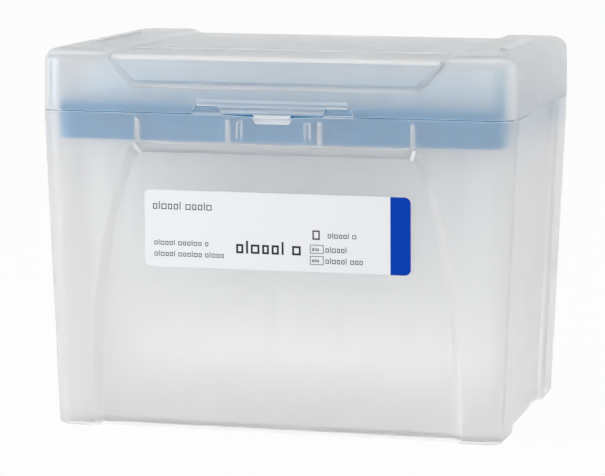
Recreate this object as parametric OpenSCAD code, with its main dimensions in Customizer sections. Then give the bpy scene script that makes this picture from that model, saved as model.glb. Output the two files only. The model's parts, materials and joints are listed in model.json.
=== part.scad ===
// Box of pipette tips: a drafted base with arched panels, a hinged lid, a tray
// with a hole for every tip, the hollow tips themselves and a printed label.
// Millimetres. Origin at the middle of the underside, +X to the right along the
// front, +Y to the back, +Z up. The front faces -Y.

/* [Tips] */
// Distance between neighbouring tips
tip_pitch = 9; // [8.9:0.05:9.6]
// Tips along the box
tip_columns = 12; // [6:1:14]
// Tips across the box
tip_rows = 8; // [4:1:10]
// Length of one tip
tip_l = 71.5; // [60:0.5:78]
// Height of the collar that stands on the tray
collar_h = 9; // [7:0.25:12]
// Diameter of the collar
collar_d = 8.1; // [7.9:0.05:8.6]
// Diameter of the tip just under the tray
barrel_d = 7; // [6.6:0.05:7.2]
// Diameter where the barrel ends and the slim cone starts
cone_d = 5.8; // [5:0.05:6.2]
// Length of the slim cone
cone_l = 42; // [36:0.5:48]
// Length of the shoulder between the cone and the barrel
shoulder_l = 2; // [1:0.25:4]
// Diameter of the open end
nose_d = 1.4; // [1.1:0.05:1.8]
// Thickness of the tip's wall
tip_wall = 0.5; // [0.35:0.05:0.6]
// Depth of the flared mouth of the collar
mouth_h = 1; // [0.5:0.25:2]

/* [Base] */
// From the axis of the end tips to the outside of the box
end_margin = 12.5; // [12:0.1:15]
// From the axis of the front tips to the outside of the box
side_margin = 13; // [12.8:0.1:16]
// Height of the base's rim above the table
base_h = 82.4; // [80:0.1:95]
// Run of the base's walls for each millimetre of height
draft = 0.0365; // [0.015:0.0005:0.045]
// Thickness of the base's walls
wall = 1.2; // [0.9:0.05:1.5]
// Thickness of the floor
floor_t = 1.4; // [1:0.1:2.5]
// How far the floor stands above the table, inside the foot rim
foot_rim_h = 0.8; // [0.4:0.1:2]
// Radius of the upright corners at the rim
corner_r = 6; // [5:0.25:9]
// Radius of the upright corners at the foot
corner_foot_r = 4.7; // [4:0.1:6]
// Rounding of the bottom edge
foot_edge_r = 1; // [0.4:0.1:1.4]

/* [Front and back panels] */
// Half the width of the arched panel at the foot
arch_half = 49.2; // [44:0.1:50]
// Height at which the panel's sides start to curve in
arch_z = 24; // [16:0.5:30]
// Radius of the curve of the panel's sides
arch_r = 148; // [140:1:200]
// Width of the sloped side of the panel
arch_run = 2.4; // [1.8:0.1:3.2]
// Run of the panel's sides for each millimetre of height
arch_lean = 0.035; // [0.02:0.005:0.05]
// Radius of the panel's upper corners
arch_corner_r = 2; // [1:0.1:3]
// Depth of the panel at the foot
panel_foot_d = 2.8; // [2:0.05:3.2]
// Depth of the panel under its ledge
panel_top_d = 2.1; // [1.6:0.05:2.6]
// Height of the sloped ledge over the panel
ledge_drop = 2.7; // [2:0.1:4]
// How far the ledge's top lies below the tray's skirt
ledge_under = 0.2; // [0.1:0.05:0.6]

/* [Side panels] */
// Half the width of the side panel
side_half = 25; // [18:0.25:28]
// Depth of the side panel at the rim
side_top_d = 1.4; // [1:0.05:1.6]
// Depth of the side panel at the foot
side_foot_d = 1.75; // [1.2:0.05:2]
// Width of the slope at each edge of the side panel
side_run = 0.9; // [0.5:0.1:2]

/* [Tray] */
// How far the tray's deck stands above the base's rim
tray_stand = 2.1; // [1.6:0.05:3]
// Thickness of the tray's deck
deck_t = 1.5; // [1.2:0.1:2.5]
// Height of the tray's skirt with the deck
skirt_h = 9.3; // [8.5:0.1:12]
// Thickness of the tray's skirt
skirt_t = 1.2; // [0.9:0.05:1.6]
// From the tray's ends to the outside of the box
tray_end_gap = 3.8; // [3.7:0.05:4.6]
// From the tray's front to the outside of the box
tray_side_gap = 3.3; // [3.2:0.05:4.2]
// Radius of the tray's corners
tray_r = 4; // [3:0.25:6]
// Clearance of a tip in its hole, all round
hole_clear = 0.15; // [0.1:0.05:0.2]
// Thickness of the webs under the deck
web_t = 0.8; // [0.6:0.1:1]
// Height of the webs under the deck
web_h = 4; // [2:0.25:6]

/* [Ribs inside the base] */
// Thickness of the ribs that hold the tray
rib_t = 1; // [0.8:0.1:1.6]
// From the middle of the box to the inner ribs
rib_inner_x = 12; // [10.5:0.25:15]
// From the middle of the box to the outer ribs
rib_outer_x = 36; // [32:0.25:36.5]
// Clearance between the ribs and the tray
rib_clear = 0.3; // [0.2:0.05:0.5]
// Depth of the seat under the tray's skirt
seat_d = 1; // [0.8:0.1:1.6]
// From the middle of the box to the small hoops
hoop_x = 8.9; // [8:0.1:9.2]
// Width of a small hoop
hoop_w = 1.7; // [1.5:0.1:2.2]
// Height of a small hoop
hoop_h = 4.3; // [3:0.1:5]
// Width of the bead that a small hoop is made of
bead_w = 0.45; // [0.4:0.05:0.6]
// How far that bead stands out of the wall
bead_d = 0.6; // [0.3:0.05:0.9]

/* [Lid] */
// Gap between the base's rim and the lid's edge
parting_gap = 0.35; // [0.3:0.05:0.5]
// Room over the tips, under the lid
head_room = 2.65; // [2:0.05:5]
// Thickness of the lid's walls
lid_wall = 1.2; // [0.9:0.05:1.5]
// Run of the lid's walls for each millimetre of height
lid_draft = 0.012; // [0.005:0.001:0.02]
// Rounding of the lid's top edge
lid_edge_r = 3.8; // [3.2:0.1:4.5]
// Depth of the band across the middle of the lid
band_d = 1.15; // [0.8:0.05:1.4]
// Half the width of the band's floor on top
band_half = 43; // [38:0.25:45]
// Width of the slope at each side of the band
band_run = 2.6; // [1.8:0.1:3]
// How far the band reaches down the front
band_drop = 6.65; // [5:0.05:7.5]
// How far the band narrows on its way down the front
band_taper = 6.4; // [4:0.1:8]
// Height of the slope at the band's lower end
band_sill = 1.7; // [1:0.1:2.5]
// Rounding of the band's front edge
band_edge_r = 1.2; // [0.8:0.1:1.6]
// How far the middle of the band stands up
plateau_h = 0.35; // [0.2:0.05:0.6]
// Half the depth of that raised middle, front to back
plateau_half = 21; // [15:0.5:30]

/* [Lid details] */
// From the middle of the box to the stacking ribs
stack_x = 54.4; // [52:0.1:54.6]
// Width of a stacking rib
stack_w = 2.5; // [1.5:0.1:2.6]
// Length of a stacking rib
stack_l = 36; // [20:1:40]
// Height of a stacking rib
stack_h = 0.55; // [0.3:0.05:0.75]
// Half the width of the grip on the front
grip_half = 19.7; // [15:0.1:22]
// Number of ridges in the grip
grip_n = 3; // [2:1:4]
// Distance between the ridges
grip_pitch = 1.25; // [1.1:0.05:1.5]
// How far the ridges stand out
grip_d = 0.4; // [0.2:0.05:0.5]
// Half the width of the tongue at the lid's edge
tongue_half = 5; // [4:0.1:8]
// How far the tongue hangs under the lid's edge
tongue_h = 0.9; // [0.6:0.05:1]
// Clearance between the tongue and its notch
tongue_clear = 0.35; // [0.3:0.05:0.6]
// Height of the finger notch in the base's rim
notch_h = 2.1; // [1.8:0.05:2.6]
// How far the notch's sloped floor rises inwards
notch_rise = 1.7; // [1:0.05:1.75]
// How far the rim dips towards the notch
dip_h = 0.3; // [0.1:0.05:0.5]
// From the middle of the box to the keys
key_x = 17.1; // [15:0.1:19]
// Width of a key's window in the lid's edge
key_w = 8.2; // [6:0.1:9]
// Height of a key's window
key_h = 1.9; // [1.5:0.05:2.4]
// How far the face of a key stands above the base's rim
key_stand = 0.5; // [0.3:0.05:1.1]
// Clearance of a key in its window
key_clear = 0.3; // [0.25:0.05:0.6]

/* [Hinge] */
// From the middle of the box to each hinge
hinge_x = 25; // [20:0.5:29]
// Radius of the barrels
barrel_r = 1.5; // [1.3:0.05:1.5]
// Radius of the hinge pins
pin_r = 0.8; // [0.7:0.05:0.9]
// Clearance of a pin in its bore, all round
pin_clear = 0.06; // [0.04:0.01:0.08]
// Length of the lid's lug along the hinge
lug_l = 8; // [6:0.5:12]
// Length of each of the base's knuckles
knuckle_l = 4; // [3:0.25:6]
// Clearance between the lug and the knuckles
lug_clear = 0.3; // [0.3:0.05:0.5]
// From the base's rim down to the hinge axis
hinge_drop = 1.55; // [1.55:0.05:1.7]
// Chamfer along the rim at the back, which lets the lid's edge turn past it
rim_ease = 0.35; // [0.3:0.05:0.5]

/* [Label] */
// Length of the label
label_l = 69.9; // [60:0.1:71]
// Height of the label
label_h = 20; // [15:0.1:24]
// How far the label sits to the right of the middle
label_x = 0.4; // [-1:0.1:1]
// Height of the label's middle above the table
label_z = 52.6; // [45:0.1:56]
// Radius of the label's corners
label_r = 1.6; // [0.8:0.1:3]
// Thickness of the label
label_t = 0.12; // [0.1:0.01:0.2]
// Length of the coloured field at the label's right end
field_l = 5.25; // [3:0.05:12]
// Thickness of the printed field
field_t = 0.04; // [0.03:0.01:0.1]

/* [Hidden] */
$fn = 48;
arc_n = 8;       // steps in each rounded corner
arch_n = 10;     // steps along the arch
corner_n = 4;    // steps in the arch's upper corners
edge_n = 5;      // steps over the lid's rounded edge
eps = 1;         // how far a cut runs past the face that it opens

box_l = (tip_columns - 1) * tip_pitch + 2 * end_margin;
box_w = (tip_rows - 1) * tip_pitch + 2 * side_margin;
deck_z = base_h + tray_stand;
tray_foot_z = deck_z - skirt_h;
tray_l = box_l - 2 * tray_end_gap;
tray_w = box_w - 2 * tray_side_gap;
tips_top_z = deck_z + collar_h;
lid_foot_z = base_h + parting_gap;
lid_top_z = tips_top_z + head_room + lid_wall + band_d;
ledge_z = tray_foot_z - ledge_under;
hole_r = barrel_d / 2 + hole_clear;

front_y = -box_w / 2;
back_y = box_w / 2;
hinge_y = back_y + grip_d - barrel_r;
hinge_z = base_h - hinge_drop;

white = [0.9, 0.91, 0.92, 0.45];
clear = [0.93, 0.94, 0.95, 0.6];
blue = [0.24, 0.47, 0.68];
paper = [0.95, 0.95, 0.96];
ink_blue = [0.02, 0.25, 0.68];

function column_name(i) = str("tips_column_", i < 10 ? "0" : "", i);

// Half the length and half the width of the base at height z.
function half_l(z) = box_l / 2 - draft * (base_h - z);
function half_w(z) = box_w / 2 - draft * (base_h - z);
function plan_r(z) = corner_foot_r + (corner_r - corner_foot_r) * z / base_h;

// Depth of the arched panel and of the side panel at height z.
function panel_d(z) = panel_foot_d + (panel_top_d - panel_foot_d) * z / ledge_z;
function side_d(z) = side_foot_d + (side_top_d - side_foot_d) * z / base_h;

// How far a curve of radius r has come in at a height h above its start.
function arc_in(h, r) = h > 0 ? r - sqrt(r * r - h * h) : 0;

// Half the width at height z of an arch that is half wide at the foot and ends at top
// in corners of radius r: nearly upright, then the long curve, then the corners.
function arch_x(z, half, top, r) =
    half - arch_lean * max(z, 0) - arc_in(z - arch_z, arch_r) - arc_in(z - top + r, r);

// The heights at which the arch's outline has a point.
function arch_heights(top, r) = concat(
    [-eps],
    [for (i = [0:arch_n]) arch_z + (top - r - arch_z) * i / arch_n],
    [for (i = [1:corner_n]) top - r + r * sin(90 * i / corner_n)]
);

// Points of a rounded rectangle, anticlockwise, at height z.
function ring(z, a, b, r) = [
    for (c = [0:3], i = [0:arc_n])
        let (t = 90 * c + 90 * i / arc_n,
             sx = c == 0 || c == 3 ? 1 : -1,
             sy = c < 2 ? 1 : -1)
        [sx * (a - r) + r * cos(t), sy * (b - r) + r * sin(t), z]
];

// A closed skin over loops of points. Each loop turns anticlockwise when it is
// looked at from the side of the last loop.
module skin(loops) {
    n = len(loops[0]);
    last = (len(loops) - 1) * n;
    polyhedron(
        points = [for (l = loops, p = l) p],
        faces = concat(
            [[for (i = [0:n - 1]) i]],
            [[for (i = [n - 1:-1:0]) last + i]],
            [for (k = [0:n:last - 1], i = [0:n - 1]) [k + i, k + n + i, k + n + (i + 1) % n]],
            [for (k = [0:n:last - 1], i = [0:n - 1]) [k + i, k + n + (i + 1) % n, k + (i + 1) % n]]
        )
    );
}

module both_sides() {
    children();
    mirror([1, 0, 0]) children();
}

module front_and_back() {
    children();
    mirror([0, 1, 0]) children();
}

// An upright plate with its outline in X and Z and its thickness from y0 to y1.
module plate_xz(points, y0, y1) {
    translate([0, y1, 0]) rotate([90, 0, 0]) linear_extrude(y1 - y0) polygon(points);
}

// A bar along X, from x0 to x1, with its section in Y and Z.
module bar_yz(points, x0, x1) {
    translate([x0, 0, 0]) rotate([90, 0, 90]) linear_extrude(x1 - x0) polygon(points);
}

// ---------------------------------------------------------------- base

// The arched panel as a block that cuts the front wall. With grow it is the
// same block made thicker all round, which keeps the wall's thickness inside.
module arch_block(grow) {
    r = arch_corner_r + grow;
    top = ledge_z + grow;
    inner_top = top - ledge_drop;
    outer = [for (z = arch_heights(top, r)) [arch_x(z, arch_half + grow, top, r), z]];
    inner = [for (z = arch_heights(inner_top, r))
        [arch_x(z, arch_half - arch_run + grow, inner_top, r), z]];
    n = len(outer) - 1;
    depth = function (z) panel_d(z) + grow - half_w(z);
    skin([
        concat([for (p = outer) [-p[0], -half_w(p[1]) - eps, p[1]]],
               [for (i = [n:-1:0]) [outer[i][0], -half_w(outer[i][1]) - eps, outer[i][1]]]),
        concat([for (p = outer) [-p[0], -half_w(p[1]), p[1]]],
               [for (i = [n:-1:0]) [outer[i][0], -half_w(outer[i][1]), outer[i][1]]]),
        concat([for (p = inner) [-p[0], depth(p[1]), p[1]]],
               [for (i = [n:-1:0]) [inner[i][0], depth(inner[i][1]), inner[i][1]]])
    ]);
}

// The side panel on the right as a block, with grow as above.
module side_block(grow) {
    zs = [-eps, base_h + eps];
    outer = side_half + grow;
    inner = side_half - side_run + grow;
    skin([for (l = [[outer, eps, 0], [outer, 0, 0], [inner, -grow, 1]]) [
        [half_l(zs[0]) + l[1] - l[2] * side_d(zs[0]), -l[0], zs[0]],
        [half_l(zs[1]) + l[1] - l[2] * side_d(zs[1]), -l[0], zs[1]],
        [half_l(zs[1]) + l[1] - l[2] * side_d(zs[1]), l[0], zs[1]],
        [half_l(zs[0]) + l[1] - l[2] * side_d(zs[0]), l[0], zs[0]]
    ]]);
}

module base_body() {
    skin(concat(
        [for (t = [0, 45, 90])
            let (z = foot_edge_r * (1 - cos(t)), in = foot_edge_r * (1 - sin(t)))
            ring(z, half_l(z) - in, half_w(z) - in, plan_r(z) - in)],
        [ring(base_h, half_l(base_h), half_w(base_h), plan_r(base_h))]
    ));
}

// The space inside the walls, from z0 to z1.
module base_space(z0, z1) {
    difference() {
        skin([for (z = [z0, z1])
            ring(z, half_l(z) - wall, half_w(z) - wall, plan_r(z) - wall)]);
        front_and_back() arch_block(wall);
        both_sides() side_block(wall);
    }
}

// One upright rib on the front wall. Its upper part keeps the tray off the wall
// and its foot is the seat that the tray's skirt stands on.
module tray_rib() {
    wall_y = function (z) -half_w(z) + wall / 2 + (z < ledge_z - ledge_drop ? panel_d(z) : 0);
    spacer_y = front_y + tray_side_gap - rib_clear;
    seat_y = front_y + tray_side_gap + seat_d;
    top_z = base_h - rib_t;
    low_z = ledge_z - ledge_drop - 2 * rib_t;
    panel_y = wall_y(ledge_z - ledge_drop - rib_t);
    bar_yz([
        [wall_y(top_z), top_z],
        [wall_y(ledge_z + wall), ledge_z + wall],
        [panel_y, ledge_z - ledge_drop - rib_t],
        [wall_y(low_z), low_z],
        [seat_y, low_z + seat_d + wall],
        [seat_y, tray_foot_z],
        [spacer_y, tray_foot_z],
        [spacer_y, top_z - rib_t]
    ], -rib_t / 2, rib_t / 2);
}

// A small hoop moulded on the inside of the front wall.
module hoop() {
    top_z = base_h - rib_t - bead_w;
    inner_y = -half_w(top_z - hoop_h) + wall;
    translate([0, inner_y - bead_d, 0]) difference() {
        plate_xz([
            [-hoop_w / 2, top_z - hoop_h], [-hoop_w / 2, top_z - bead_w],
            [-hoop_w / 2 + bead_w, top_z], [hoop_w / 2 - bead_w, top_z],
            [hoop_w / 2, top_z - bead_w], [hoop_w / 2, top_z - hoop_h]
        ], 0, 2 * bead_d);
        plate_xz([
            [-hoop_w / 2 + bead_w, top_z - hoop_h - eps],
            [-hoop_w / 2 + bead_w, top_z - bead_w],
            [hoop_w / 2 - bead_w, top_z - bead_w],
            [hoop_w / 2 - bead_w, top_z - hoop_h - eps]
        ], -eps, 2 * bead_d + eps);
    }
}

// The finger notch in the rim, with a sloped floor that rises inwards.
module finger_notch() {
    half = tongue_half + tongue_clear;
    low_z = base_h - notch_h;
    slant = notch_h / 2;
    skin([for (l = [[-eps, 0], [0, 0], [wall, notch_rise], [wall + eps, notch_rise]])
        let (y = front_y + l[0], z = low_z + l[1])
        [
            [-half + (base_h - z) / notch_h * slant, y, z],
            [-half - slant / notch_h * eps, y, base_h + eps],
            [half + slant / notch_h * eps, y, base_h + eps],
            [half - (base_h - z) / notch_h * slant, y, z]
        ]]);
}

// The shallow dip of the rim from the keys to the notch.
module rim_dip() {
    half = tongue_half + tongue_clear;
    end_x = key_x - key_w / 2 - key_clear;
    plate_xz([
        [-end_x, base_h], [-end_x, base_h + eps], [end_x, base_h + eps], [end_x, base_h],
        [half, base_h - dip_h], [-half, base_h - dip_h]
    ], front_y - eps, front_y + wall + eps);
}

// The chamfer along the rim at the back.
module back_chamfer() {
    cut = rim_ease + eps;
    bar_yz([
        [back_y - cut, base_h + eps], [back_y + eps, base_h + eps], [back_y + eps, base_h - cut]
    ], -box_l / 2, box_l / 2);
}

// A trapezoid on the rim, stand high, from y0 behind the box's front to the wall's back.
module key_plate(stand, y0) {
    half = (key_w + parting_gap) / 2 - key_clear;
    plate_xz([
        [-half, base_h - rib_t], [-half, base_h], [-half + stand / 2, base_h + stand],
        [half - stand / 2, base_h + stand], [half, base_h], [half, base_h - rib_t]
    ], front_y + y0, front_y + wall);
}

// A key: a low face, and a tall back that fills a window of the lid's edge.
module key() {
    key_plate(key_stand, draft);
    key_plate(parting_gap + key_h - key_clear, wall / 2);
}

// Cuts a hinge's recess through the back wall.
module lug_notch() {
    half = lug_l / 2 + lug_clear;
    depth = hinge_drop + barrel_r + 2 * lug_clear + grip_d;
    translate([-half, hinge_y - barrel_r - lug_clear, base_h - depth])
        cube([2 * half, 2 * barrel_r + 2 * lug_clear, depth + eps]);
}

// The pair of knuckles of one hinge, before their bores are drilled.
module knuckles() {
    half = lug_l / 2 + lug_clear;
    both_sides() translate([half, hinge_y, hinge_z]) {
        rotate([0, 90, 0]) cylinder(r = barrel_r, h = knuckle_l);
        translate([0, -barrel_r, -barrel_r])
            cube([knuckle_l, back_y - hinge_y + barrel_r - draft, barrel_r]);
    }
}

module base_box() {
    half = lug_l / 2 + lug_clear + knuckle_l;
    color(white) difference() {
        union() {
            difference() {
                base_body();
                front_and_back() arch_block(0);
                both_sides() side_block(0);
                base_space(foot_rim_h + floor_t, base_h + eps);
                base_space(-eps, foot_rim_h);
                finger_notch();
                rim_dip();
                back_chamfer();
                both_sides() translate([hinge_x, 0, 0]) lug_notch();
            }
            front_and_back() both_sides() {
                for (x = [rib_inner_x, rib_outer_x]) translate([x, 0, 0]) tray_rib();
                translate([hoop_x, 0, 0]) hoop();
            }
            both_sides() {
                translate([key_x, 0, 0]) key();
                translate([hinge_x, 0, 0]) knuckles();
            }
        }
        both_sides() translate([hinge_x - half, hinge_y, hinge_z])
            rotate([0, 90, 0]) cylinder(r = pin_r + pin_clear, h = 2 * half);
    }
}

// ---------------------------------------------------------------- lid

// Half the lid's length and width less the draft, at height z.
function lid_inset(z) = lid_draft * (z - lid_foot_z);

// The lid's block, made smaller by t all round for the space inside.
module lid_body(t, foot_z) {
    r = lid_edge_r - t;
    edge_z = lid_top_z - lid_edge_r;
    d = t + lid_inset(edge_z);
    skin(concat(
        [ring(foot_z, box_l / 2 - t, box_w / 2 - t, corner_r - t)],
        [for (i = [0:edge_n])
            let (a = 90 * i / edge_n, in = d + r * (1 - cos(a)))
            ring(edge_z + r * sin(a), box_l / 2 - in, box_w / 2 - in, corner_r - in)]
    ));
}

// The lowered band as a block: across the top, and down the front in a taper.
module band_block(grow) {
    floor_z = lid_top_z - band_d - grow;
    slope = band_run / band_d;
    half = band_half + grow * tan(atan(1 / slope) / 2);
    top_half = half + slope * (band_d + grow + eps);
    rise_z = lid_top_z + eps;
    plate_xz([
        [-half, floor_z], [-top_half, rise_z], [top_half, rise_z], [half, floor_z]
    ], front_y - eps, back_y + eps);
    front_and_back() band_end(grow);
}

module band_end(grow) {
    low_z = lid_top_z - band_d - band_drop - grow;
    rise_z = lid_top_z + eps;
    spread = band_taper / band_drop;
    half = band_half - band_taper + grow / 2;
    skin([for (l = [[-eps, band_run, band_sill], [0, band_run, band_sill], [band_d + grow, 0, 0]])
        let (y = front_y + l[0], x = half + l[1] - spread * l[2], z = low_z - l[2])
        [
            [-x, y, z],
            [-x - spread * (rise_z - z), y, rise_z],
            [x + spread * (rise_z - z), y, rise_z],
            [x, y, z]
        ]]);
}

// Rounds the edge where the band turns from the top down the front.
module band_edge() {
    y = front_y + band_d;
    z = lid_top_z - band_d;
    bar_yz(concat(
        [[y - eps, z + eps], [y - eps, z - band_edge_r]],
        [for (a = [0:15:90])
            [y + band_edge_r * (1 - cos(a)), z - band_edge_r * (1 - sin(a))]],
        [[y + band_edge_r, z + eps]]
    ), -band_half, band_half);
}

// A window in the lid's edge that a key of the base stands in.
module key_window() {
    z = lid_foot_z;
    plate_xz([
        [-key_w / 2, z - eps], [-key_w / 2, z], [-key_w / 2 + key_h / 2, z + key_h],
        [key_w / 2 - key_h / 2, z + key_h], [key_w / 2, z], [key_w / 2, z - eps]
    ], front_y - grip_d - eps, front_y + lid_wall + eps);
}

// One ridge of the grip, like the edge of a shingle, with sloped ends.
module grip_ridge() {
    face_y = front_y + lid_wall / 2;
    skin([for (l = [[-grip_half, 0], [grip_d - grip_half, 1], [grip_half - grip_d, 1], [grip_half, 0]])
        let (y = front_y - grip_d * l[1])
        [
            [l[0], face_y, 0], [l[0], face_y, grip_pitch],
            [l[0], front_y + grip_d / 4, grip_pitch], [l[0], y, grip_pitch / 3], [l[0], y, 0]
        ]]);
}

// The tongue that hangs from the lid's edge into the finger notch.
module tongue() {
    plate_xz([
        [-tongue_half, lid_foot_z + lid_wall], [-tongue_half, lid_foot_z],
        [-tongue_half + tongue_h / 2, lid_foot_z - tongue_h],
        [tongue_half - tongue_h / 2, lid_foot_z - tongue_h],
        [tongue_half, lid_foot_z], [tongue_half, lid_foot_z + lid_wall]
    ], front_y, front_y + lid_wall / 2);
}

// The lug of one hinge, with a pin at each end.
module lug() {
    neck_h = lid_foot_z + 2 * lid_wall - hinge_z;
    pin_l = knuckle_l;   // it stops lug_clear short of the knuckle's far face
    translate([-lug_l / 2, hinge_y, hinge_z]) {
        rotate([0, 90, 0]) cylinder(r = barrel_r, h = lug_l);
        translate([0, back_y - lid_wall - hinge_y, 0])
            cube([lug_l, barrel_r + lid_wall + hinge_y - back_y, neck_h]);
        translate([-pin_l, 0, 0]) rotate([0, 90, 0]) cylinder(r = pin_r, h = lug_l + 2 * pin_l);
    }
}

module stacking_rib() {
    top = stack_w / 2 - stack_h;
    translate([0, stack_l / 2, 0]) rotate([90, 0, 0]) linear_extrude(stack_l) polygon([
        [-stack_w / 2, lid_top_z - lid_wall / 2], [-stack_w / 2, lid_top_z],
        [-top, lid_top_z + stack_h], [top, lid_top_z + stack_h],
        [stack_w / 2, lid_top_z], [stack_w / 2, lid_top_z - lid_wall / 2]
    ]);
}

module plateau() {
    z = lid_top_z - band_d;
    slope = band_run / band_d;
    plate_xz([
        [-band_half - slope * plateau_h, z + plateau_h], [band_half + slope * plateau_h, z + plateau_h],
        [band_half, z], [band_half, z - lid_wall / 2], [-band_half, z - lid_wall / 2], [-band_half, z]
    ], -plateau_half, plateau_half);
}

module lid() {
    color(white) difference() {
        union() {
            difference() {
                lid_body(0, lid_foot_z);
                band_block(0);
                front_and_back() band_edge();
                difference() {
                    lid_body(lid_wall, lid_foot_z - eps);
                    band_block(lid_wall);
                }
            }
            plateau();
            tongue();
            for (i = [0:grip_n - 1]) translate([0, 0, lid_foot_z + i * grip_pitch]) grip_ridge();
            both_sides() {
                translate([stack_x, 0, 0]) stacking_rib();
                translate([hinge_x, 0, 0]) lug();
            }
        }
        both_sides() translate([key_x, 0, 0]) key_window();
    }
}

// ---------------------------------------------------------------- tray and tips

// A slab with rounded upright corners, standing on z.
module rounded_slab(l, w, r, z, h) {
    translate([0, 0, z]) linear_extrude(h) {
        square([l - 2 * r, w], center = true);
        square([l, w - 2 * r], center = true);
        for (x = [-1, 1], y = [-1, 1])
            translate([x * (l / 2 - r), y * (w / 2 - r)]) circle(r = r);
    }
}

function tip_x(i) = (i - (tip_columns + 1) / 2) * tip_pitch;
function tip_y(j) = (j - (tip_rows + 1) / 2) * tip_pitch;

module tip_tray() {
    color(blue) difference() {
        rounded_slab(tray_l, tray_w, tray_r, tray_foot_z, skirt_h);
        difference() {
            rounded_slab(tray_l - 2 * skirt_t, tray_w - 2 * skirt_t, tray_r - skirt_t,
                         tray_foot_z - eps, skirt_h - deck_t + eps);
            for (i = [1:tip_columns - 1])
                translate([tip_x(i + 0.5) - web_t / 2, -tray_w / 2, deck_z - deck_t - web_h])
                    cube([web_t, tray_w, web_h + eps]);
        }
        for (i = [1:tip_columns], j = [1:tip_rows])
            translate([tip_x(i), tip_y(j), deck_z - deck_t - eps])
                cylinder(r = hole_r, h = deck_t + 2 * eps);
    }
}

// One tip: a collar that stands on the deck, a barrel and a long slim cone.
module tip() {
    nose_z = tips_top_z - tip_l;
    cone_z = nose_z + cone_l;
    lip = tip_wall / 2;
    collar_r = collar_d / 2;
    rotate_extrude() polygon([
        [nose_d / 2, nose_z],
        [cone_d / 2, cone_z],
        [cone_d / 2 + lip, cone_z + shoulder_l],
        [barrel_d / 2, deck_z],
        [collar_r - lip / 2, deck_z],
        [collar_r, tips_top_z],
        [collar_r - lip, tips_top_z],
        [collar_r - lip / 2 - tip_wall, tips_top_z - mouth_h],
        [barrel_d / 2 - tip_wall, deck_z],
        [cone_d / 2 + lip - tip_wall, cone_z + shoulder_l],
        [cone_d / 2 - tip_wall, cone_z],
        [nose_d / 2 - lip, nose_z]
    ]);
}

module tips_column(i) {
    color(clear) for (j = [1:tip_rows]) translate([tip_x(i), tip_y(j), 0]) tip();
}

// ---------------------------------------------------------------- label

// Places its children on the front panel, with Z of the child out of the wall,
// Y up along it and the origin at the label's middle.
module on_panel(lift) {
    lean = atan(draft - (panel_top_d - panel_foot_d) / ledge_z);
    translate([label_x, panel_d(label_z) - half_w(label_z), label_z])
        rotate([90 + lean, 0, 0]) translate([0, 0, lift]) children();
}

module label_shape() {
    square([label_l - 2 * label_r, label_h], center = true);
    square([label_l, label_h - 2 * label_r], center = true);
    for (x = [-1, 1], y = [-1, 1])
        translate([x * (label_l / 2 - label_r), y * (label_h / 2 - label_r)]) circle(r = label_r);
}

module label() {
    color(paper) on_panel(0) linear_extrude(label_t) label_shape();
}

module label_blue_field() {
    color(ink_blue) on_panel(label_t) linear_extrude(field_t) intersection() {
        label_shape();
        translate([label_l / 2 - field_l, -label_h / 2]) square([field_l, label_h]);
    }
}

base_box();
lid();
tip_tray();
label();
label_blue_field();
for (i = [1:tip_columns]) tips_column(i);
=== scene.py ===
# A box of pipette tips: frosted polypropylene base and lid, blue tray, hollow tips and a label.
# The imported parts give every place; the sections below dress them, one real piece at a time.
import json
import math

import bmesh
import bpy
from mathutils import Matrix, Vector


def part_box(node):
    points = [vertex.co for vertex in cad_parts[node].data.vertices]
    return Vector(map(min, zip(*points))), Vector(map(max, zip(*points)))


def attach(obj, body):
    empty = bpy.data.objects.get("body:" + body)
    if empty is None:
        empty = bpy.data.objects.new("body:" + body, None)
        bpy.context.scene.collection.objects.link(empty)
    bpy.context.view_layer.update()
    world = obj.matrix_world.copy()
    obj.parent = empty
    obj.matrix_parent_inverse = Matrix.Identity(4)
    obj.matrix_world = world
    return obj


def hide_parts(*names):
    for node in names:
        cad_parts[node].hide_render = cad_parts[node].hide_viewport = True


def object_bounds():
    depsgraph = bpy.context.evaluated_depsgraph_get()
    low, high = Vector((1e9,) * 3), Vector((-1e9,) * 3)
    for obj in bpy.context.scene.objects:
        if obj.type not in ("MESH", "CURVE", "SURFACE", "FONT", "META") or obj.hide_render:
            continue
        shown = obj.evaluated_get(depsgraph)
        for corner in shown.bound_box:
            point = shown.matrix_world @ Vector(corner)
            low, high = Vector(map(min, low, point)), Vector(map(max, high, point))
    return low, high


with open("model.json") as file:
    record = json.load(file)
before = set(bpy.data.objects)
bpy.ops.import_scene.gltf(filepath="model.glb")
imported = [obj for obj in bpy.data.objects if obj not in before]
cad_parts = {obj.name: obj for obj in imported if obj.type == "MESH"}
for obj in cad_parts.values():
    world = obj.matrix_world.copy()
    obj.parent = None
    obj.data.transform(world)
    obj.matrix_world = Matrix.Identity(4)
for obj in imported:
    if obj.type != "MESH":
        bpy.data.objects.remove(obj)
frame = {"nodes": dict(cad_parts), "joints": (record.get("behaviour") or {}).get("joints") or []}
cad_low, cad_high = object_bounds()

# ---------------------------------------------------------------- the camera
# It looks at the front from a little to the right and above, through a long lens.
# Its aim lies slightly left of and under the box's middle.
mm = 0.001
camera_turn = math.radians(13.84)
camera_rise = math.radians(7.66)
camera_roll = math.radians(0.17)
camera_distance = 805.7 * mm
camera_lens = 178.6
box_middle = (cad_low + cad_high) / 2
camera_aim = Vector((-2.9 * mm, 0, box_middle.z - 3.9 * mm))

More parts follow.
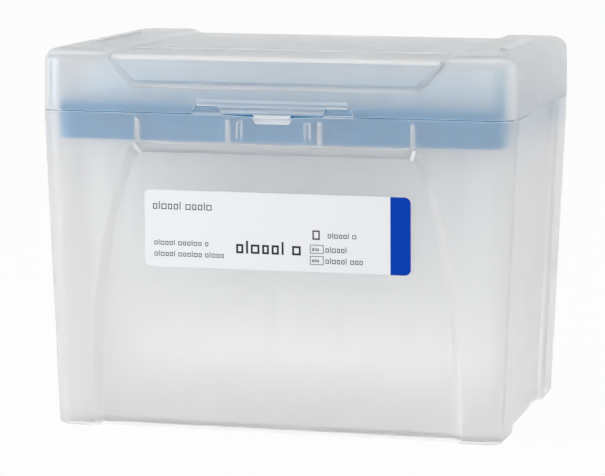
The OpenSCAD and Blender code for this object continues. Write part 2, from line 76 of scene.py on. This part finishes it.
camera_back = Vector((
    math.sin(camera_turn) * math.cos(camera_rise),
    -math.cos(camera_turn) * math.cos(camera_rise),
    math.sin(camera_rise),
))
camera_right = Vector((math.cos(camera_turn), math.sin(camera_turn), 0))
camera_up = camera_back.cross(camera_right)
camera_axes = Matrix((camera_right, camera_up, camera_back)).transposed()
camera = bpy.data.objects.new("camera", bpy.data.cameras.new("camera"))
camera.data.lens = camera_lens
camera.matrix_world = Matrix.LocRotScale(
    camera_aim + camera_distance * camera_back,
    camera_axes @ Matrix.Rotation(camera_roll, 3, "Z"),
    None,
)
bpy.context.scene.collection.objects.link(camera)
bpy.context.scene.camera = camera

# ---------------------------------------------------------------- the base
# The base is one injection moulding of natural polypropylene. Its skin is frosted
# by the mould, so light passes but what lies behind it blurs with its distance.


class Surface:
    """A material of one Principled shader, with short ways to add its procedural detail."""

    def __init__(self, name, **sockets):
        self.material = bpy.data.materials.new(name)
        self.material.use_nodes = True
        self.tree = self.material.node_tree
        self.shader = self.tree.nodes["Principled BSDF"]
        for socket, value in sockets.items():
            self.shader.inputs[socket.replace("_", " ")].default_value = value
        self.place = self.add("ShaderNodeTexCoord").outputs["Object"]

    def add(self, kind, **settings):
        node = self.tree.nodes.new(kind)
        for setting, value in settings.items():
            setattr(node, setting, value)
        return node

    def noise(self, size, detail):
        """A noise whose lumps are about size metres across."""
        node = self.add("ShaderNodeTexNoise")
        node.inputs["Scale"].default_value = 1 / size
        node.inputs["Detail"].default_value = detail
        self.tree.links.new(self.place, node.inputs["Vector"])
        return node.outputs["Fac"]

    def between(self, value, low, high, start=0.3, stop=0.7):
        """A number that runs from low to high while value runs from start to stop."""
        node = self.add("ShaderNodeMapRange")
        node.inputs["From Min"].default_value = start
        node.inputs["From Max"].default_value = stop
        node.inputs["To Min"].default_value = low
        node.inputs["To Max"].default_value = high
        self.tree.links.new(value, node.inputs["Value"])
        return node.outputs["Result"]

    def blend(self, value, one, other):
        """A colour between one and the other."""
        node = self.add("ShaderNodeMix", data_type="RGBA")
        node.inputs["A"].default_value = (*one, 1)
        node.inputs["B"].default_value = (*other, 1)
        self.tree.links.new(value, node.inputs["Factor"])
        return node.outputs["Result"]

    def feed(self, socket, value):
        self.tree.links.new(value, self.shader.inputs[socket])

    def relief(self, value, depth):
        """A relief depth metres deep."""
        node = self.add("ShaderNodeBump")
        node.inputs["Strength"].default_value = 1.0
        node.inputs["Distance"].default_value = depth
        self.tree.links.new(value, node.inputs["Height"])
        self.tree.links.new(node.outputs["Normal"], self.shader.inputs["Normal"])


plastic_ior = 1.49
warm_white = (0.975, 0.972, 0.969)
tone_drift = 0.005
haze_drift = 0.02


def polypropylene(name, clarity, haze, milk=0.0, tone=warm_white):
    """Natural polypropylene.

    Clarity is the share of light that the surface lets pass at once. Milk is the part of
    the rest that scatters inside the wall, so the tint of what lies behind comes through.
    """
    surface = Surface(
        name, IOR=plastic_ior, Transmission_Weight=clarity, Subsurface_Weight=milk,
        Subsurface_Radius=(1, 1, 1), Subsurface_Scale=4 * mm)
    surface.feed("Base Color", surface.blend(
        surface.between(surface.noise(18 * mm, 3), 0, 1),
        [part - tone_drift for part in tone], [part + tone_drift for part in tone]))
    surface.feed("Roughness", surface.between(
        surface.noise(6 * mm, 3), haze - haze_drift, haze + haze_drift))
    surface.relief(surface.noise(0.35 * mm, 3), 0.003 * mm)
    return surface.material


outer_skin = polypropylene("outer_skin", clarity=0.88, haze=0.3, milk=0.4)
inner_skin = polypropylene("inner_skin", clarity=0.88, haze=0.4)
# The last two finishes are less clear, so lighter. On thick parts that is the plastic's own
# whiteness; on the lid's edges, corners, rails, tongue and grip, the base's broken edges and the
# notch floor it is a painted highlight.
edge_and_highlight_skin = polypropylene("edge_and_highlight_skin", clarity=0.6, haze=0.3)
thick_and_highlight_edge = polypropylene("thick_and_highlight_edge", clarity=0.3, haze=0.25)

# Base and lid meet along the parting line, round an outline with rounded corners.
parting_z = 82.6 * mm
parting_reach = 3.0 * mm
rim_half = Vector((62, 44.5)) * mm
rim_corner = 6 * mm
rim_proud = 0.2 * mm
rim_deep = 0.45 * mm
rim_back = rim_half.y - 0.5 * mm


def at_rim(place):
    """Whether a point lies outside where base and lid meet, in front or at the sides."""
    x = abs(place.x) - rim_half.x + rim_corner
    y = abs(place.y) - rim_half.y + rim_corner
    depth = rim_corner - math.hypot(max(x, 0), max(y, 0)) - min(max(x, y), 0)
    outside = -rim_proud < depth < rim_deep and place.y < rim_back
    return outside and abs(place.z - parting_z) < parting_reach


# Corners closer than the gap are one, and faces that turn less than flat_turn are one face.
merge_gap = 0.002 * mm
flat_turn = math.radians(0.2)
crease_turn = math.radians(28)
sharp_turn = math.radians(50)
break_width = 0.1 * mm


def moulding(node, name, finish_of, finishes):
    """The node's solid as one mesh with joined corners, whole flat faces and eased edges.

    finish_of(centre, normal) picks each face's finish. Sharp edges along the parting line
    are broken finely and take the last finish, whose lighter plastic paints a highlight line
    along them besides the light a thick edge holds.
    """
    mesh = bpy.data.meshes.new(name)
    form = bmesh.new()
    form.from_mesh(frame["nodes"][node].data)
    bmesh.ops.remove_doubles(form, verts=form.verts, dist=merge_gap)
    bmesh.ops.dissolve_limit(form, angle_limit=flat_turn, verts=form.verts, edges=form.edges)
    broken = form.edges.layers.float.new("broken")
    for seam in form.edges:
        bend = seam.calc_face_angle(0)
        seam.smooth = bend < crease_turn
        near = all(at_rim(corner.co) for corner in seam.verts)
        seam[broken] = float(near and bend > sharp_turn)
    for face in form.faces:
        face.smooth = True
        face.material_index = finishes.index(finish_of(face.calc_center_median(), face.normal))
    form.to_mesh(mesh)
    form.free()
    for finish in finishes:
        mesh.materials.append(finish)
    piece = bpy.data.objects.new(name, mesh)
    bpy.context.scene.collection.objects.link(piece)
    bevel = piece.modifiers.new("broken edges", "BEVEL")
    bevel.limit_method = "WEIGHT"
    bevel.edge_weight = "broken"
    bevel.width = break_width
    bevel.segments = 2
    bevel.use_clamp_overlap = False
    # The broken edges take the lighter last finish: a painted highlight line.
    bevel.material = len(finishes) - 1
    even = piece.modifiers.new("even shading", "WEIGHTED_NORMAL")
    even.keep_sharp = True
    return piece


# Lugs and knuckles lie round the hinge's axis, and the frame says where that is.
_, hinge_y, hinge_z = frame["joints"][0]["pos_m"]
hinge_reach = 3.2 * mm


def by_hinge(centre):
    """Whether a face belongs to a lug, a knuckle or the eased rim beside them."""
    return math.hypot(centre.y - hinge_y, centre.z - hinge_z) < hinge_reach


# Ribs carry the tray from a little under its skirt, and a small hoop stands beside each
# inner rib. The keys rise over the rim on both sides of the finger notch. The arched
# panel and the side panels lie deeper than the wall, with a slope along their edges.
tray_low, tray_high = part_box("tip_tray")
rib_places = (12 * mm, 36 * mm)
rib_half = 0.6 * mm
rib_face = -cad_low.y - 1.6 * mm
rib_foot = tray_low.z - 6 * mm
hoop_place = 8.9 * mm
hoop_half = 1.0 * mm
hoop_face = rib_face + 0.2 * mm
hoop_foot = tray_low.z + 1.0 * mm
key_foot = parting_z + 0.4 * mm
notch_half = 6 * mm
notch_back = cad_low.y + 2 * mm
arch_half = 50 * mm
arch_bend_z = 67 * mm
side_panel_half = 26 * mm
base_inside = Vector((0, 0, parting_z / 2))


def base_finish(centre, normal):
    """Ribs, hoops, keys and slopes are thick, and the notch's upward faces are lighter as a
    painted highlight; the rest is a skin, out or in.
    """
    across, deep = abs(centre.x), abs(centre.y)
    sideways = abs(normal.x)
    by_rib = any(abs(across - place) < rib_half for place in rib_places)
    by_hoop = abs(across - hoop_place) < hoop_half
    on_rib = by_rib and deep < rib_face and centre.z > rib_foot
    on_hoop = by_hoop and deep < hoop_face and centre.z > hoop_foot
    on_key = centre.z > key_foot and normal.z > 0.9
    by_notch = across < notch_half and centre.y < notch_back and centre.z > tray_low.z
    # The notch's upward faces take the lighter finish as a painted highlight.
    notch_highlight = by_notch and normal.z > 0.3
    if by_hinge(centre) or on_rib or on_hoop or on_key or notch_highlight:
        return thick_and_highlight_edge
    if normal.dot(centre - base_inside) < 0:
        return inner_skin
    if across < arch_half and centre.z < arch_bend_z and 0.5 < sideways < 0.9:
        return thick_and_highlight_edge
    on_side_slope = deep < side_panel_half and 0.3 < sideways < 0.7
    return edge_and_highlight_skin if on_side_slope else outer_skin


base = moulding(
    "base_box", "base_moulding", base_finish, (outer_skin, inner_skin, edge_and_highlight_skin, thick_and_highlight_edge))
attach(base, "root")
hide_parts("base_box")

# ---------------------------------------------------------------- the lid
# The lid is a second moulding of the same plastic, with the hinge pins in one piece.
# It snaps over the base's knuckles at the back and turns there.
cool_white = (0.968, 0.973, 0.976)
lid_outer = polypropylene("lid_outer_skin", clarity=0.88, haze=0.3, milk=0.6, tone=cool_white)
lid_inner = polypropylene("lid_inner_skin", clarity=0.88, haze=0.35, milk=0.6, tone=cool_white)
# The lid's inside corners are tinted the tray's blue, a painted reflection of its light.
painted_blue_corner = polypropylene(
    "lid_painted_blue_corner", clarity=0.8, haze=0.35, milk=0.8, tone=(0.8, 0.9, 0.955))

lid_low, lid_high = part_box("lid")
lid_face = lid_low.y + 0.4 * mm
tongue_face = lid_face + 0.05 * mm
tongue_top = parting_z + 0.2 * mm
rail_h = 0.55 * mm
rail_foot = lid_high.z - 0.8 * rail_h
band_d = 1.15 * mm
band_z = lid_high.z - rail_h - band_d
band_half = 43 * mm
band_edge_r = 1.2 * mm
round_foot = lid_high.z - 4 * mm
painted_blue_corner_x = 54 * mm
lid_inside = Vector((0, 0, lid_low.z - 20 * mm))


def lid_finish(centre, normal):
    """The tongue, band edges and step take the least clear finish, and the grip, rails, rounded
    edges and outer corners a less clear one: lighter faces that are painted highlights.

    The rounded corners inside are tinted the tray's blue, painted light reflected from the tray.
    """
    across, deep = abs(centre.x), abs(centre.y)
    sideways, forward = abs(normal.x), abs(normal.y)
    # The grip's upward slopes, the tongue, the band's front edge and the plateau step take
    # lighter finishes as painted highlights.
    grip_highlight = centre.y < lid_face and 0.3 < normal.z < 0.7
    if grip_highlight:
        return edge_and_highlight_skin
    tongue_highlight = centre.z < tongue_top and centre.y < tongue_face
    from_edge = max(abs(band_z - centre.z), abs(-lid_face - deep - band_d))
    band_edge_highlight = from_edge < 1.1 * band_edge_r and 0.05 < normal.z < 0.95
    step_highlight = centre.z > band_z and forward > 0.9
    band_highlight = across < band_half and (band_edge_highlight or step_highlight)
    if tongue_highlight or band_highlight or by_hinge(centre):
        return thick_and_highlight_edge
    if normal.dot(centre - lid_inside) < 0:
        # Sideways-facing inside corners are tinted the tray's blue: painted reflected light.
        turned = min(sideways, forward) > 0.25 and abs(normal.z) < 0.3
        return painted_blue_corner if turned and across > painted_blue_corner_x else lid_inner
    # Rails, the rounded top front edges and the outer corners take the lighter skin as painted
    # highlights.
    rail_highlight = centre.z > rail_foot
    round_highlight = centre.z > round_foot and 0.5 < normal.z < 0.9 and forward > 0.4
    corner_highlight = 0.6 < sideways < 0.98 and forward > 0.15 and normal.z < 0.5
    return edge_and_highlight_skin if rail_highlight or round_highlight or corner_highlight else lid_outer


lid = moulding(
    "lid", "lid_moulding", lid_finish,
    (lid_outer, lid_inner, painted_blue_corner, edge_and_highlight_skin, thick_and_highlight_edge))
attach(lid, "lid")
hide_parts("lid")

# ---------------------------------------------------------------- the tray
# The tray is moulded in blue polypropylene and stands on the seats of the base's ribs.
# Its finish is satin, a little uneven where the plastic shrank over the webs.
tray_surface = Surface("blue_tray", Roughness=0.42, IOR=plastic_ior)
tray_surface.feed("Base Color", tray_surface.blend(
    tray_surface.between(tray_surface.noise(12 * mm, 3), 0, 1),
    (0.004, 0.2, 0.42), (0.007, 0.225, 0.46)))
tray_surface.relief(tray_surface.noise(0.3 * mm, 2), 0.004 * mm)
tray = moulding(
    "tip_tray", "tray_moulding", lambda centre, normal: tray_surface.material,
    (tray_surface.material,))
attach(tray, "root")
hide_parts("tip_tray")

# ---------------------------------------------------------------- the tips
# Each tip is a thin hollow moulding of clear polypropylene. It hangs in the tray by
# its collar, which is fluted for grip. One tip is turned, then set out on the grid.
columns = sorted(name for name in frame["nodes"] if name.startswith("tips_column_"))
first_low, first_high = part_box(columns[0])
last_low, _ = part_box(columns[-1])
pitch = (last_low.x - first_low.x) / (len(columns) - 1)
collar_radius = (first_high.x - first_low.x) / 2
rows = round((first_high.y - first_low.y - 2 * collar_radius) / pitch) + 1
mouth = first_high.z
nose = first_low.z
deck = tray_high.z
tip_wall = 0.5 * mm
barrel_radius = 3.5 * mm
shoulder_radius = 3.15 * mm
cone_radius = 2.9 * mm
nose_radius = 0.7 * mm
shoulder_foot = nose + 42 * mm
shoulder_top = shoulder_foot + 2 * mm
flutes = 18
flute_depth = 0.22 * mm

# Radius and height along the outside from the nose up, over the lip and down inside.
# The flutes are cut between two of these rings, along the collar.
outside = [
    (nose_radius - 0.1 * mm, nose), (nose_radius, nose + 0.3 * mm),
    (cone_radius, shoulder_foot), (shoulder_radius, shoulder_top),
    (barrel_radius, deck), (collar_radius - 0.1 * mm, deck),
    (collar_radius, deck + 0.6 * mm), (collar_radius, mouth - 0.9 * mm),
    (collar_radius, mouth - 0.3 * mm), (collar_radius - 0.1 * mm, mouth),
]
inside = [
    (collar_radius - 0.3 * mm, mouth), (collar_radius - 0.65 * mm, mouth - 1.0 * mm),
    (barrel_radius - tip_wall, deck), (shoulder_radius - tip_wall, shoulder_top),
    (cone_radius - tip_wall, shoulder_foot), (nose_radius - 0.3 * mm, nose),
]
fluted = range(6, 8)

one_tip = bpy.data.meshes.new("one_tip")
form = bmesh.new()
around = 2 * flutes
loops = []
for step, (radius, height) in enumerate(outside + inside):
    loop = []
    for i in range(around):
        angle = 2 * math.pi * i / around
        r = radius - (flute_depth if step in fluted and i % 2 else 0)
        loop.append(form.verts.new((r * math.cos(angle), r * math.sin(angle), height)))
    loops.append(loop)
for lower, upper in zip(loops, loops[1:] + loops[:1]):
    for i in range(around):
        j = (i + 1) % around
        form.faces.new((lower[i], lower[j], upper[j], upper[i]))
for face in form.faces:
    face.smooth = True
for seam in form.edges:
    seam.smooth = seam.calc_face_angle(0) < crease_turn
bmesh.ops.recalc_face_normals(form, faces=form.faces)
form.to_mesh(one_tip)
form.free()
pattern_tip = bpy.data.objects.new("pattern_tip", one_tip)

# Over the deck the clear plastic is painted with the tray's blue light reflected onto it, most of
# it close to the deck.
# A tip is clear where it faces the eye and shows at its edges, as thin walls do.
clear_surface = Surface("clear_tip", IOR=plastic_ior)
upright = clear_surface.add("ShaderNodeSeparateXYZ")
clear_surface.tree.links.new(clear_surface.place, upright.inputs["Vector"])
over_deck = clear_surface.between(upright.outputs["Z"], 0, 1, deck - 0.1 * mm, deck + 0.1 * mm)
painted_light_fading = clear_surface.between(upright.outputs["Z"], 1, 0.3, deck, mouth)
# The painted blue light is strongest at the deck and fades up the collar.
painted_blue_light = clear_surface.add("ShaderNodeMath", operation="MULTIPLY")
clear_surface.tree.links.new(over_deck, painted_blue_light.inputs[0])
clear_surface.tree.links.new(painted_light_fading, painted_blue_light.inputs[1])
clear_surface.feed("Base Color", clear_surface.blend(
    painted_blue_light.outputs["Value"], (0.92, 0.935, 0.945), (0.76, 0.9, 0.97)))
rim_glow = clear_surface.add("ShaderNodeLayerWeight")
rim_glow.inputs["Blend"].default_value = 0.35
clear_surface.feed("Alpha", clear_surface.between(rim_glow.outputs["Facing"], 0.1, 0.5, 0, 1))
clear_surface.feed("Roughness", clear_surface.between(clear_surface.noise(3 * mm, 2), 0.12, 0.2))
clear_surface.relief(clear_surface.noise(0.4 * mm, 2), 0.003 * mm)


class Tree:
    """A Geometry Nodes tree with named inputs, built one node at a time."""

    def __init__(self, name, **inputs):
        self.group = bpy.data.node_groups.new(name, "GeometryNodeTree")
        self.keys = {}
        for label, kind in inputs.items():
            self.keys[label] = self.group.interface.new_socket(
                label, in_out="INPUT", socket_type=kind).identifier
        self.group.interface.new_socket(
            "Geometry", in_out="OUTPUT", socket_type="NodeSocketGeometry")
        self.start = self.group.nodes.new("NodeGroupInput").outputs
        self.end = self.group.nodes.new("NodeGroupOutput").inputs["Geometry"]

    def add(self, kind, **sockets):
        node = self.group.nodes.new(kind)
        for socket, value in sockets.items():
            self.group.links.new(value, node.inputs[socket.replace("_", " ")])
        return node.outputs

    def piece(self, name, **values):
        """The tree's result for these values, as a plain mesh object."""
        carrier = bpy.data.objects.new(name + "_carrier", bpy.data.meshes.new("empty"))
        bpy.context.scene.collection.objects.link(carrier)
        modifier = carrier.modifiers.new("nodes", "NODES")
        modifier.node_group = self.group
        for label, value in values.items():
            modifier[self.keys[label]] = value
        bpy.context.view_layer.update()
        shape = carrier.evaluated_get(bpy.context.evaluated_depsgraph_get())
        mesh = bpy.data.meshes.new_from_object(shape)
        bpy.data.objects.remove(carrier)
        mesh.name = name
        result = bpy.data.objects.new(name, mesh)
        bpy.context.scene.collection.objects.link(result)
        return result


rack = Tree(
    "tip_rack", Pattern="NodeSocketObject", Material="NodeSocketMaterial",
    Columns="NodeSocketInt", Rows="NodeSocketInt",
    Length="NodeSocketFloat", Width="NodeSocketFloat")
grid = rack.add(
    "GeometryNodeMeshGrid", Size_X=rack.start["Length"], Size_Y=rack.start["Width"],
    Vertices_X=rack.start["Columns"], Vertices_Y=rack.start["Rows"])
pattern = rack.add("GeometryNodeObjectInfo", Object=rack.start["Pattern"])
placed = rack.add(
    "GeometryNodeInstanceOnPoints", Points=grid["Mesh"], Instance=pattern["Geometry"])
real = rack.add("GeometryNodeRealizeInstances", Geometry=placed["Instances"])
finished = rack.add(
    "GeometryNodeSetMaterial", Geometry=real["Geometry"], Material=rack.start["Material"])
rack.group.links.new(finished["Geometry"], rack.end)
tips = rack.piece(
    "tips", Pattern=pattern_tip, Material=clear_surface.material,
    Columns=len(columns), Rows=rows,
    Length=pitch * (len(columns) - 1), Width=pitch * (rows - 1))
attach(tips, "root")
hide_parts(*columns)

# ---------------------------------------------------------------- the label
# The label is white film stuck on the front panel, with one end printed blue. The rest
# of its print is plain: blocks in rows, two framed boxes and a small square mark.
label_surface = Surface(
    "label_film", Base_Color=(0.86, 0.875, 0.9, 1), IOR=1.45, Specular_IOR_Level=0.2)
label_surface.feed("Roughness", label_surface.between(label_surface.noise(2 * mm, 3), 0.35, 0.45))
label_surface.relief(label_surface.noise(0.25 * mm, 2), 0.003 * mm)
label = frame["nodes"]["label"]
label.data.materials.clear()
label.data.materials.append(label_surface.material)


def ink(name, thin, full):
    """Printing ink, a little uneven, from the colour thin to the colour full."""
    surface = Surface(name, IOR=1.45, Specular_IOR_Level=0.08)
    surface.feed("Base Color", surface.blend(surface.noise(0.5 * mm, 2), thin, full))
    surface.feed("Roughness", surface.between(surface.noise(2 * mm, 3), 0.35, 0.45))
    return surface.material


field = frame["nodes"]["label_blue_field"]
field.data.materials.clear()
field.data.materials.append(ink("blue_ink", (0.0, 0.046, 0.43), (0.0, 0.052, 0.46)))

label_low, label_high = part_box("label")
ends = [[corner.co for corner in label.data.vertices if abs(corner.co.z - z) < 0.1 * mm]
        for z in (label_high.z, label_low.z)]
top_y, foot_y = [min(place.y for place in end) for end in ends]
print_lift = 0.02 * mm
dark, grey = 0, 1


def stamp(form, left, right, top, foot, tone=dark):
    """A printed rectangle; its sides are in millimetres from the label's upper left corner."""
    corners = []
    for across, down in ((left, foot), (right, foot), (right, top), (left, top)):
        z = label_high.z - down * mm
        share = (label_high.z - z) / (label_high.z - label_low.z)
        y = top_y + (foot_y - top_y) * share - print_lift
        corners.append(form.verts.new((label_low.x + across * mm, y, z)))
    form.faces.new(corners).material_index = tone


def frame_box(form, left, right, top, foot, line, tone=dark):
    """An outlined rectangle."""
    stamp(form, left, right, top, top + line, tone)
    stamp(form, left, right, foot - line, foot, tone)
    stamp(form, left, left + line, top + line, foot - line, tone)
    stamp(form, right - line, right, top + line, foot - line, tone)


def block_row(form, left, right, top, foot, size, line):
    """A row of small boxes about size wide with bars between, in groups of six."""
    place = left
    count = 0
    while place + size < right:
        width = (0.75 * size, line, 0.9 * size, 0.7 * size)[count % 4]
        if count % 4 == 1:
            stamp(form, place, place + line, top, foot)
        else:
            frame_box(form, place, place + width, top + 0.28 * (foot - top), foot, line)
        place += width + 0.3 * size + (0.6 * size if count % 6 == 5 else 0)
        count += 1


# Each row is told by its left, right, top and foot, then its boxes' size and their line.
print_mesh = bpy.data.meshes.new("label_print")
form = bmesh.new()
for row in (
    (2.3, 19.5, 3.0, 5.0, 1.5, 0.22),
    (2.5, 17.2, 12.9, 14.3, 1.1, 0.18),
    (2.5, 22.3, 15.8, 17.2, 1.1, 0.18),
    (24.3, 42.9, 12.5, 15.8, 2.5, 0.5),
    (48.4, 56.2, 9.7, 11.1, 1.1, 0.18),
):
    block_row(form, *row)
frame_box(form, 44.4, 46.3, 9.2, 11.6, 0.35)
for box_top, row_end in ((12.9, 54.9), (15.8, 58.1)):
    frame_box(form, 43.7, 47.3, box_top, box_top + 2.3, 0.2, grey)
    block_row(form, 44.3, 46.9, box_top + 0.7, box_top + 1.6, 0.7, 0.16)
    block_row(form, 47.8, row_end, box_top + 0.4, box_top + 1.9, 1.1, 0.18)
form.to_mesh(print_mesh)
form.free()
print_mesh.materials.append(ink("dark_ink", (0.02, 0.02, 0.022), (0.035, 0.035, 0.038)))
print_mesh.materials.append(ink("grey_ink", (0.22, 0.22, 0.23), (0.26, 0.26, 0.27)))
label_print = bpy.data.objects.new("label_print", print_mesh)
bpy.context.scene.collection.objects.link(label_print)
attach(label_print, "root")

# ---------------------------------------------------------------- floor and light
# A pale floor, a pale room and wide soft lamps. Where the camera sees past the box, in a
# reflection or through the plastic too, floor and room are plain white.
floor_reach = 6.0
floor_white = 0.92
floor_mesh = bpy.data.meshes.new("floor")
floor_mesh.from_pydata(
    [(-floor_reach, -floor_reach, 0), (floor_reach, -floor_reach, 0),
     (floor_reach, floor_reach, 0), (-floor_reach, floor_reach, 0)],
    [], [(0, 1, 2, 3)])
floor = bpy.data.objects.new("floor", floor_mesh)
bpy.context.scene.collection.objects.link(floor)


def past_the_box(tree):
    """One for light on its way to the camera, straight, mirrored or through; else zero."""
    path = tree.nodes.new("ShaderNodeLightPath").outputs
    result = path["Is Camera Ray"]
    for kind in ("Is Glossy Ray", "Is Transmission Ray"):
        either = tree.nodes.new("ShaderNodeMath")
        either.operation = "MAXIMUM"
        tree.links.new(result, either.inputs[0])
        tree.links.new(path[kind], either.inputs[1])
        result = either.outputs["Value"]
    return result


floor_material = bpy.data.materials.new("pale_floor")
floor_material.use_nodes = True
tree = floor_material.node_tree
paint = tree.nodes["Principled BSDF"]
paint.inputs["Base Color"].default_value = (0.9, 0.9, 0.9, 1)
paint.inputs["Roughness"].default_value = 0.9
glow = tree.nodes.new("ShaderNodeEmission")
share = tree.nodes.new("ShaderNodeMath")
share.operation = "MULTIPLY"
share.inputs[1].default_value = floor_white
mix = tree.nodes.new("ShaderNodeMixShader")
tree.links.new(past_the_box(tree), share.inputs[0])
tree.links.new(share.outputs["Value"], mix.inputs["Fac"])
tree.links.new(paint.outputs["BSDF"], mix.inputs[1])
tree.links.new(glow.outputs["Emission"], mix.inputs[2])
tree.links.new(mix.outputs["Shader"], tree.nodes["Material Output"].inputs["Surface"])
floor_mesh.materials.append(floor_material)

world = bpy.data.worlds.new("room")
bpy.context.scene.world = world
world.use_nodes = True
tree = world.node_tree
room = tree.nodes["Background"]
room.inputs["Color"].default_value = (1, 1, 1, 1)
room.inputs["Strength"].default_value = 0.7
white = tree.nodes.new("ShaderNodeBackground")
white.inputs["Color"].default_value = (1, 1, 1, 1)
white.inputs["Strength"].default_value = 1.0
mix = tree.nodes.new("ShaderNodeMixShader")
tree.links.new(past_the_box(tree), mix.inputs["Fac"])
tree.links.new(room.outputs["Background"], mix.inputs[1])
tree.links.new(white.outputs["Background"], mix.inputs[2])
tree.links.new(mix.outputs["Shader"], tree.nodes["World Output"].inputs["Surface"])


def softbox(name, place, size, power):
    """A square lamp that faces the box."""
    lamp = bpy.data.lights.new(name, "AREA")
    lamp.size = size
    lamp.energy = power
    holder = bpy.data.objects.new(name, lamp)
    holder.location = place
    holder.rotation_euler = (box_middle - holder.location).to_track_quat("-Z", "Y").to_euler()
    bpy.context.scene.collection.objects.link(holder)


softbox("key_lamp", Vector((-0.45, -0.32, 0.13)), size=0.25, power=1.1)
softbox("top_lamp", Vector((0.0, -0.5, 1.25)), size=0.3, power=1.2)
softbox("side_lamp", Vector((1.3, 0.4, 0.25)), size=0.35, power=1.6)

# Light crosses many frosted and clear walls on its way, so its paths are long.
bpy.context.scene.view_settings.view_transform = "Standard"
cycles = bpy.context.scene.cycles
cycles.max_bounces = 40
cycles.transmission_bounces = 40
cycles.diffuse_bounces = 8
cycles.glossy_bounces = 8
cycles.blur_glossy = 0
cycles.transparent_max_bounces = 64
